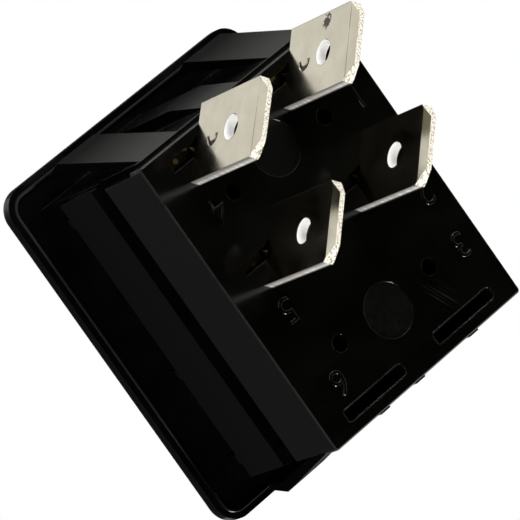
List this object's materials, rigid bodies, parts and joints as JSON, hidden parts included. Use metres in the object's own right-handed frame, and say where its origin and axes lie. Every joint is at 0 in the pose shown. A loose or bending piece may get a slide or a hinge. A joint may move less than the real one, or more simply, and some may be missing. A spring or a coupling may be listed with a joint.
{
  "type": "rocker switch",
  "caption": "Panel rocker switch with a snap-in flanged housing, twisted blade tabs on a glossy rear base, and sprung see-saw contacts under the key.",
  "frame": {"origin": "centre of the panel seat, in the plane of the lip behind the flange", "axes": "+Z out of the panel's front, +X along the switch towards its vacant terminal slots, +Y across it"},
  "size_m": [0.0308, 0.0266, 0.0318],
  "materials": {
    "housing": "fine matte moulding",
    "terminal_base": "glossy moulding with faint flow marks",
    "rocker": "polished moulding",
    "tabs": "tin-plated stamping",
    "contacts": "satin silver alloy",
    "levers": "bare copper alloy strip",
    "plungers": "natural moulding",
    "springs": "drawn wire"
  },
  "bodies": {
    "housing_group": {"housing": "housing", "terminal_base": "terminal_base", "terminal_1": "tabs", "terminal_2": "tabs", "terminal_4": "tabs", "terminal_5": "tabs", "fixed_contact_a": "contacts", "fixed_contact_b": "contacts"},
    "rocker_group": {"rocker": "rocker", "plunger_spring_a": "springs", "plunger_spring_b": "springs"},
    "plunger_a_group": {"plunger_a": "plungers"},
    "plunger_b_group": {"plunger_b": "plungers"},
    "lever_a_group": {"contact_lever_a": "levers", "moving_contact_a": "contacts"},
    "lever_b_group": {"contact_lever_b": "levers", "moving_contact_b": "contacts"}
  },
  "joints": [
    {"name": "rocker_tilt", "type": "hinge", "parent": "housing_group", "child": "rocker_group", "pos_m": [0, 0, -0.0015], "axis": [0, 1, 0], "range_deg": [0, 24]},
    {"name": "lever_a_seesaw", "type": "hinge", "parent": "housing_group", "child": "lever_a_group", "pos_m": [0, 0.0052, -0.01097], "axis": [0, 1, 0], "range_deg": [-12, 0]},
    {"name": "lever_b_seesaw", "type": "hinge", "parent": "housing_group", "child": "lever_b_group", "pos_m": [0, -0.0052, -0.01097], "axis": [0, 1, 0], "range_deg": [-12, 0]},
    {"name": "plunger_a_slide", "type": "slide", "parent": "rocker_group", "child": "plunger_a_group", "axis": [-0.2079, 0, 0.9781], "range_m": [0, 0.0008], "stiffness_N_per_m": 400, "springref_m": -0.003, "deforming": ["plunger_spring_a"]},
    {"name": "plunger_b_slide", "type": "slide", "parent": "rocker_group", "child": "plunger_b_group", "axis": [-0.2079, 0, 0.9781], "range_m": [0, 0.0008], "stiffness_N_per_m": 400, "springref_m": -0.003, "deforming": ["plunger_spring_b"]}
  ],
  "couplings": [
    {"joint": "lever_a_seesaw", "follows": "rocker_tilt", "ratio": -0.5},
    {"joint": "lever_b_seesaw", "follows": "rocker_tilt", "ratio": -0.5}
  ]
}
